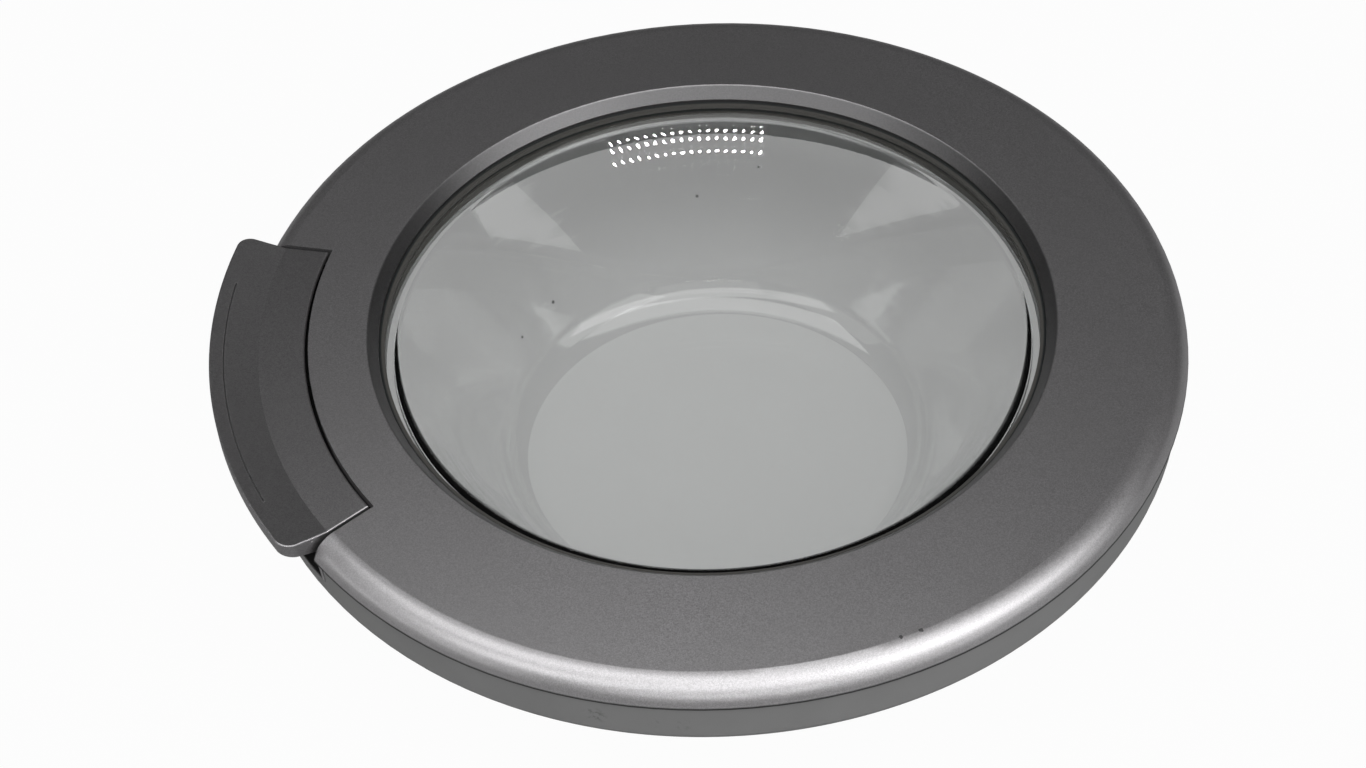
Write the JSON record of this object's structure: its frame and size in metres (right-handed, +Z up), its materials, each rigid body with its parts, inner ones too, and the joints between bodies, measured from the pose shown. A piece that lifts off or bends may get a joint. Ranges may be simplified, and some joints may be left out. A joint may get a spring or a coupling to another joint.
{
  "type": "washing machine door",
  "caption": "Round front-loader door: deep glass bowl in a two-part moulded ring, pull handle that works a latch hook, and a hinge bracket hanging on its pin.",
  "frame": {"origin": "middle of the flat underside of the glass bowl, on which the door lies", "axes": "+Z up through the bowl to the door's outer face, -X to the handle, +X to the hinge, Y along the hinge pin"},
  "size_m": [0.478, 0.465, 0.1053],
  "materials": {
    "glass": "clear pressed glass",
    "seal_rubber": "black rubber, matt",
    "silver_paint": "moulded plastic with silver metallic paint",
    "grey_plastic": "grey moulded plastic, matt",
    "dark_plastic": "dark moulded plastic",
    "white_plastic": "natural acetal",
    "steel": "zinc plated steel",
    "cast_alloy": "die-cast alloy, as cast"
  },
  "bodies": {
    "door": {"front_frame": "silver_paint", "rear_frame": "grey_plastic", "glass_bowl": "glass", "glass_gasket": "seal_rubber", "frame_screws": "steel", "hinge_support": "steel", "hinge_screws": "steel", "hinge_bush_upper": "white_plastic", "hinge_bush_lower": "white_plastic", "latch_housing": "dark_plastic", "latch_screws": "steel", "latch_pin": "steel", "latch_spring": "steel", "handle_axle": "steel", "handle_spring": "steel", "handle_bumpers": "seal_rubber"},
    "handle": {"handle_cover": "silver_paint", "handle_lever": "dark_plastic", "handle_screws": "steel"},
    "hook": {"latch_hook": "cast_alloy"},
    "hinge": {"hinge_bracket": "cast_alloy", "hinge_pin": "steel"}
  },
  "joints": [
    {"name": "handle_pull", "type": "hinge", "parent": "door", "child": "handle", "pos_m": [-0.203, 0, 0.096], "axis": [0, 1, 0], "range_deg": [0, 10], "stiffness_Nm_per_rad": 1, "springref_deg": -11.46, "deforming": ["handle_spring"]},
    {"name": "latch_turn", "type": "hinge", "parent": "door", "child": "hook", "pos_m": [-0.207, 0, 0.072], "axis": [0, -1, 0], "range_deg": [0, 14], "stiffness_Nm_per_rad": 0.05, "springref_deg": -5.73, "deforming": ["latch_spring"]},
    {"name": "hinge_swing", "type": "hinge", "parent": "door", "child": "hinge", "pos_m": [0.219, 0, 0.071], "axis": [0, -1, 0], "range_deg": [-60, 55]}
  ],
  "couplings": [
    {"joint": "latch_turn", "follows": "handle_pull", "ratio": 1.4}
  ]
}
